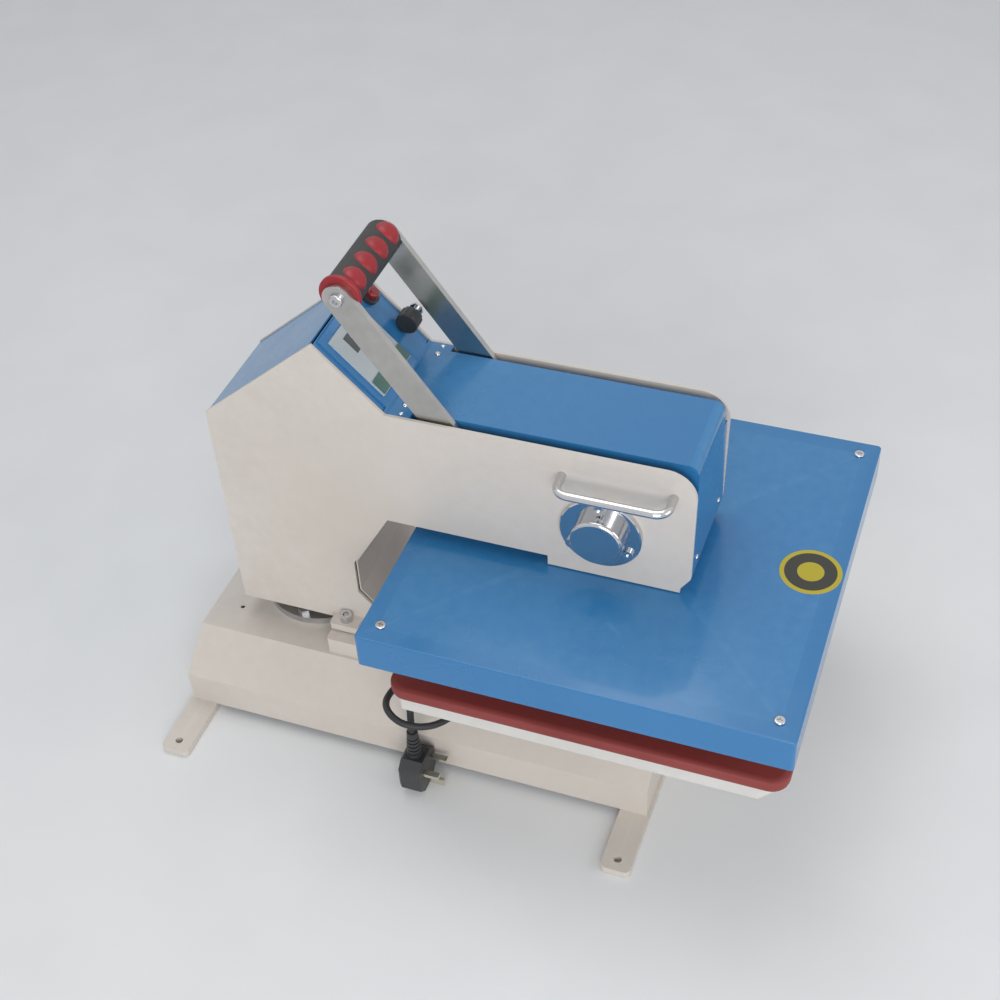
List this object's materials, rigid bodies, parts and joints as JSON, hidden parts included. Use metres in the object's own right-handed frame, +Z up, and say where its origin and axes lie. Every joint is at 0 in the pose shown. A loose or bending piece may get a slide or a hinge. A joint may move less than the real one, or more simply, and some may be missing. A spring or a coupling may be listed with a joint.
{
  "type": "flat heat press",
  "caption": "Swing-away flat heat press: a lever and cam push a heated platen down onto a padded lower platen, on a folded steel base with bench holes.",
  "frame": {"origin": "centre of the rectangle of the four foot holes, on the bench surface", "axes": "+Z up, +X to the operator's right, -Y towards the operator"},
  "size_m": [0.416, 0.6505, 0.5307],
  "materials": {
    "cream_paint": "off-white powder coat, satin",
    "white_paint": "white powder coat, satin",
    "blue_paint": "glossy mid-blue powder coat",
    "chrome": "polished chrome plating",
    "lever_steel": "flat bar with a satin chrome finish",
    "machined_steel": "turned and ground steel",
    "bronze": "sintered bronze",
    "cast_aluminium": "cast aluminium, machined face",
    "red_silicone": "matt dark red silicone sheet",
    "black_rubber": "matt black rubber and PVC",
    "red_rubber": "red soft rubber",
    "red_plastic": "glossy red plastic",
    "black_plastic": "moulded black plastic",
    "pin_brass": "nickel-plated brass",
    "grey_plastic": "light grey printed panel, bare",
    "green_plastic": "dark green",
    "dark_window": "dark display window",
    "fibre_board": "pressed mineral fibre"
  },
  "bodies": {
    "base": {"base_channel": "cream_paint", "foot_bars": "cream_paint", "base_fasteners": "machined_steel", "pivot_post": "machined_steel", "post_lock_nut": "machined_steel", "rest_block": "cream_paint", "platen_pedestal": "cream_paint", "lower_platen": "white_paint", "silicone_pad": "red_silicone", "cord_gland": "black_plastic", "cord_coil": "black_rubber", "cord_tie": "black_plastic", "cord_inlet_run": "black_rubber", "cord_lead_run": "black_rubber", "plug_body": "black_plastic", "plug_pins": "pin_brass"},
    "head": {"swing_plate": "cream_paint", "levelling_screw": "chrome", "pivot_bushes": "bronze", "pivot_sleeve": "cream_paint", "left_side_plate": "cream_paint", "right_side_plate": "cream_paint", "rear_cover": "blue_paint", "control_panel": "blue_paint", "controller_case": "black_plastic", "controller_fascia": "grey_plastic", "display_window": "dark_window", "key_strip": "green_plastic", "control_board": "green_plastic", "button_bezel": "black_plastic", "knob_stem": "chrome", "column_front_wall": "cream_paint", "arm_floor_plate": "machined_steel", "guide_bushes": "bronze", "arm_cover": "blue_paint", "bearing_caps": "chrome", "shaft_bushes": "bronze", "pull_handles": "chrome", "head_fasteners": "chrome", "return_springs": "machined_steel"},
    "button": {"push_button": "red_plastic"},
    "knob": {"adjusting_knob": "black_plastic"},
    "lever": {"cross_shaft": "machined_steel", "left_lever_bar": "lever_steel", "right_lever_bar": "lever_steel", "press_cam": "machined_steel", "grip_core": "machined_steel", "grip_sleeve": "black_rubber", "finger_pads": "red_rubber", "grip_flange": "red_rubber", "grip_screws": "chrome"},
    "heat_platen": {"platen_cover": "blue_paint", "strong_back_plate": "machined_steel", "insulation_board": "fibre_board", "heating_plate": "cast_aluminium", "heating_element": "machined_steel", "temperature_sensor": "machined_steel", "platen_fasteners": "chrome", "press_ram": "machined_steel", "guide_rods": "machined_steel"}
  },
  "joints": [
    {"name": "head_swing", "type": "hinge", "parent": "base", "child": "head", "pos_m": [0, 0.15, 0.11], "axis": [0, 0, 1], "range_deg": [0, 90]},
    {"name": "lever_turn", "type": "hinge", "parent": "head", "child": "lever", "pos_m": [0, -0.1825, 0.307], "axis": [1, 0, 0], "range_deg": [0, 120]},
    {"name": "platen_press", "type": "slide", "parent": "head", "child": "heat_platen", "axis": [0, 0, -1], "range_m": [0, 0.0247], "stiffness_N_per_m": 8000, "springref_m": -0.022, "deforming": ["return_springs"]},
    {"name": "knob_turn", "type": "hinge", "parent": "head", "child": "knob", "pos_m": [0.045, 0.038, 0.425], "axis": [1, 0, 0], "range_deg": [-135, 135]},
    {"name": "button_press", "type": "slide", "parent": "head", "child": "button", "axis": [0, 0.7109, -0.7033], "range_m": [0, 0.003], "stiffness_N_per_m": 400, "springref_m": -0.001}
  ],
  "couplings": [
    {"joint": "platen_press", "follows": "lever_turn", "m_per_rad": 0.011793}
  ]
}
